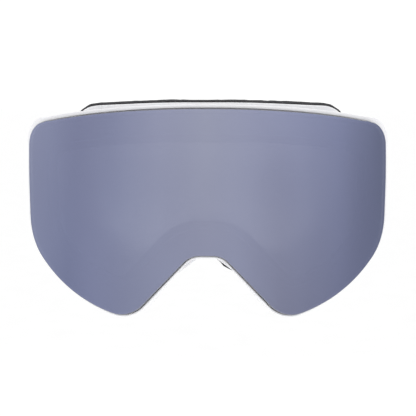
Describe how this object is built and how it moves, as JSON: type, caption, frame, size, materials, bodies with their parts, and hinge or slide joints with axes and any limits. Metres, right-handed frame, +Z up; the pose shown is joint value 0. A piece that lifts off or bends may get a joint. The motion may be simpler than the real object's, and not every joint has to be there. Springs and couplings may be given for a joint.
{
  "type": "ski goggles",
  "caption": "Frameless-look ski goggles: a mirrored curved double lens held by magnets on a white frame with face foam, and a clip-on elastic strap on pivoting outriggers.",
  "frame": {"origin": "centre of the face contact surface at the brow: x = 0 the middle plane, z = 0 the middle of the lens", "axes": "-Y the way the wearer looks, +Z up, +X to the wearer's left"},
  "size_m": [0.1784, 0.231, 0.1035],
  "materials": {
    "mirror_lens": "blue-grey mirror coating on a smoke lens, glossy",
    "clear_lens": "clear anti-fog inner lens",
    "white_shell": "smooth white moulded frame, satin gloss",
    "black_plastic": "fine moulded texture",
    "magnet": "nickel-plated magnet",
    "dark_foam": "open-cell foam",
    "fleece": "brushed fleece",
    "webbing": "woven elastic",
    "silicone": "printed silicone bead",
    "steel": "plain pin"
  },
  "bodies": {
    "frame": {"front_frame": "white_shell", "face_skirt": "white_shell", "face_foam_base": "dark_foam", "face_foam_comfort": "dark_foam", "face_fleece": "fleece", "vent_foam_top": "dark_foam", "vent_foam_cheek_left": "dark_foam", "vent_foam_cheek_right": "dark_foam", "frame_magnet_1": "magnet", "frame_magnet_2": "magnet", "frame_magnet_3": "magnet", "frame_magnet_4": "magnet", "frame_magnet_5": "magnet", "frame_magnet_6": "magnet", "frame_magnet_7": "magnet", "frame_magnet_8": "magnet", "temple_bracket_left": "black_plastic", "temple_bracket_right": "black_plastic", "outrigger_pin_left": "steel", "outrigger_pin_right": "steel"},
    "lens": {"outer_lens": "mirror_lens", "lens_carrier": "black_plastic", "lens_spacer_foam": "dark_foam", "inner_lens": "clear_lens", "lens_magnet_1": "magnet", "lens_magnet_2": "magnet", "lens_magnet_3": "magnet", "lens_magnet_4": "magnet", "lens_magnet_5": "magnet", "lens_magnet_6": "magnet", "lens_magnet_7": "magnet", "lens_magnet_8": "magnet"},
    "outrigger_left": {"outrigger_left": "black_plastic"},
    "outrigger_right": {"outrigger_right": "black_plastic"},
    "strap_left": {"strap_left": "webbing", "strap_return_left": "webbing", "grip_line_left_1": "silicone", "grip_line_left_2": "silicone", "clip_hook": "black_plastic"},
    "strap_right": {"strap_right": "webbing", "strap_return_right": "webbing", "grip_line_right_1": "silicone", "grip_line_right_2": "silicone", "clip_catch": "black_plastic"},
    "slider_left": {"strap_slider_left": "black_plastic"},
    "slider_right": {"strap_slider_right": "black_plastic"}
  },
  "joints": [
    {"name": "lens_lift_off", "type": "slide", "parent": "frame", "child": "lens", "axis": [0, -1, 0], "range_m": [0, 0.06]},
    {"name": "outrigger_left_hinge", "type": "hinge", "parent": "frame", "child": "outrigger_left", "pos_m": [-0.083, 0.0085, 0.006], "axis": [0, 0, 1], "range_deg": [0, 20]},
    {"name": "strap_left_swing", "type": "hinge", "parent": "outrigger_left", "child": "strap_left", "pos_m": [-0.083, 0.033, 0.006], "axis": [0, 0, 1], "range_deg": [0, 40]},
    {"name": "slider_left_travel", "type": "slide", "parent": "strap_left", "child": "slider_left", "axis": [0, 1, 0], "range_m": [-0.005, 0.022], "deforming": ["strap_return_left"]},
    {"name": "outrigger_right_hinge", "type": "hinge", "parent": "frame", "child": "outrigger_right", "pos_m": [0.083, 0.0085, 0.006], "axis": [0, 0, -1], "range_deg": [0, 20]},
    {"name": "strap_right_swing", "type": "hinge", "parent": "outrigger_right", "child": "strap_right", "pos_m": [0.083, 0.033, 0.006], "axis": [0, 0, -1], "range_deg": [0, 40]},
    {"name": "slider_right_travel", "type": "slide", "parent": "strap_right", "child": "slider_right", "axis": [0, 1, 0], "range_m": [-0.005, 0.022], "deforming": ["strap_return_right"]}
  ]
}
